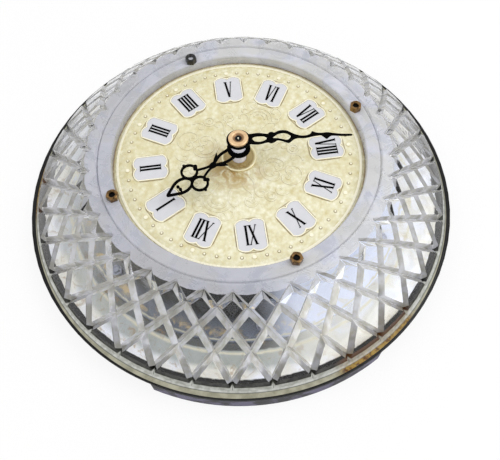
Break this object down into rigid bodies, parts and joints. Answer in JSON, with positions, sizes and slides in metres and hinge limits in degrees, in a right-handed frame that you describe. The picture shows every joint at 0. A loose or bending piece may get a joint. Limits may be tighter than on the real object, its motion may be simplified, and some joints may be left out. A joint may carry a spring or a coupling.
{
  "type": "quartz clock",
  "caption": "Round wall clock with a lattice-cut clear skirt, recessed roman dial, raised hub with two openwork hands, quartz movement, black back with foot arcs and keyhole hanger.",
  "frame": {"origin": "centre of the clock in plan, on the wall plane under the foot arcs, the clock lying on its back", "axes": "+Z out of the dial along the hands' arbors, +Y towards 12 o'clock, +X towards 3 o'clock"},
  "size_m": [0.25, 0.25, 0.0686],
  "materials": {
    "clear_plastic": "cut and polished outside, slightly violet",
    "frosted_ring": "frosted clear plastic, pale bluish grey",
    "brass": "plain turned, slightly dull",
    "steel": "zinc plated",
    "dark_nut": "black",
    "dial_gold": "cream gold, pebbled, embossed",
    "plaque_grey": "pale grey enamel",
    "black_paint": "satin black",
    "boss_cream": "cream gold",
    "rubber": "matte",
    "white_plastic": "white, slightly lilac",
    "drum_silver": "bright sheet, gold-brown oxide low down",
    "reflector_silver": "bright sheet",
    "back_black": "satin black",
    "foot_grey": "dark violet grey",
    "case_black": "moulded, fine grain",
    "plate_white": "natural",
    "battery_sleeve": "plain dark green sleeve, steel ends",
    "spring_plus": "thin sheet",
    "spring_minus": "thin sheet, plated",
    "board_green": "lacquered board",
    "quartz_silver": "drawn can",
    "chip_black": "potting resin",
    "capacitor_ochre": "ceramic",
    "bobbin_natural": "natural",
    "winding_copper": "enamelled copper wire",
    "stator_iron": "stamped soft iron",
    "magnet_grey": "sintered magnet with plastic pinion",
    "wheel_natural": "natural",
    "wheel_brass": "stamped",
    "knob_dark": "moulded"
  },
  "bodies": {
    "clock_body": {"crystal_body": "clear_plastic", "top_ring": "frosted_ring", "ring_nuts": "brass", "dark_nut": "dark_nut", "ring_studs": "brass", "dial_plate": "dial_gold", "numeral_plaques": "plaque_grey", "numerals": "black_paint", "fixing_nut": "boss_cream", "rubber_washer": "rubber", "threaded_bush": "white_plastic", "dial_seat": "drum_silver", "support_drum": "drum_silver", "base_ring": "drum_silver", "base_nuts": "steel", "reflector": "reflector_silver", "back_plate": "back_black", "foot_arcs": "foot_grey", "drum_screws": "steel", "hanger_plate": "steel", "hanger_rivets": "steel", "case_front": "case_black", "case_back": "case_black", "middle_plate": "plate_white", "battery": "battery_sleeve", "contact_plus": "spring_plus", "contact_minus": "spring_minus", "circuit_board": "board_green", "quartz_can": "quartz_silver", "driver_chip": "chip_black", "trim_capacitor": "capacitor_ochre", "coil_bobbin": "bobbin_natural", "coil_winding": "winding_copper", "stator": "stator_iron"},
    "minute_works": {"minute_arbor": "wheel_brass", "minute_collet": "white_plastic", "minute_hand": "black_paint", "hand_nut": "brass"},
    "hour_works": {"hour_wheel": "wheel_natural", "hour_hand": "black_paint"},
    "motion_works": {"minute_wheel": "wheel_natural"},
    "knob": {"setting_knob": "knob_dark"},
    "seconds_works": {"seconds_wheel": "wheel_natural"},
    "intermediate_works": {"intermediate_wheel": "wheel_natural"},
    "rotor_works": {"rotor": "magnet_grey"},
    "third_works": {"third_wheel": "wheel_natural"},
    "centre_works": {"centre_wheel": "wheel_brass"}
  },
  "joints": [
    {"name": "minute_turn", "type": "hinge", "parent": "clock_body", "child": "minute_works", "pos_m": [0, 0, 0.06], "axis": [0, 0, 1], "continuous": true},
    {"name": "hour_turn", "type": "hinge", "parent": "clock_body", "child": "hour_works", "pos_m": [0, 0, 0.05], "axis": [0, 0, 1], "continuous": true},
    {"name": "motion_turn", "type": "hinge", "parent": "clock_body", "child": "motion_works", "pos_m": [0.00078, 0.00897, 0.044], "axis": [0, 0, 1], "continuous": true},
    {"name": "knob_turn", "type": "hinge", "parent": "clock_body", "child": "knob", "pos_m": [0, 0.01793, 0.035], "axis": [0, 0, 1], "continuous": true},
    {"name": "seconds_turn", "type": "hinge", "parent": "clock_body", "child": "seconds_works", "pos_m": [0, 0, 0.038], "axis": [0, 0, 1], "continuous": true},
    {"name": "intermediate_turn", "type": "hinge", "parent": "clock_body", "child": "intermediate_works", "pos_m": [-0.00831, 0.0048, 0.037], "axis": [0, 0, 1], "continuous": true},
    {"name": "rotor_turn", "type": "hinge", "parent": "clock_body", "child": "rotor_works", "pos_m": [-0.01251, 0.01207, 0.035], "axis": [0, 0, 1], "continuous": true},
    {"name": "third_turn", "type": "hinge", "parent": "clock_body", "child": "third_works", "pos_m": [0.01003, 0.00702, 0.041], "axis": [0, 0, 1], "continuous": true},
    {"name": "centre_turn", "type": "hinge", "parent": "clock_body", "child": "centre_works", "pos_m": [0, 0, 0.0427], "axis": [0, 0, 1], "continuous": true}
  ],
  "couplings": [
    {"joint": "hour_turn", "follows": "minute_turn", "ratio": 0.083333},
    {"joint": "motion_turn", "follows": "minute_turn", "ratio": -0.33333},
    {"joint": "knob_turn", "follows": "minute_turn", "ratio": 1},
    {"joint": "intermediate_turn", "follows": "seconds_turn", "ratio": -5},
    {"joint": "rotor_turn", "follows": "seconds_turn", "ratio": 30},
    {"joint": "third_turn", "follows": "seconds_turn", "ratio": -0.13333},
    {"joint": "centre_turn", "follows": "seconds_turn", "ratio": 0.016667}
  ]
}
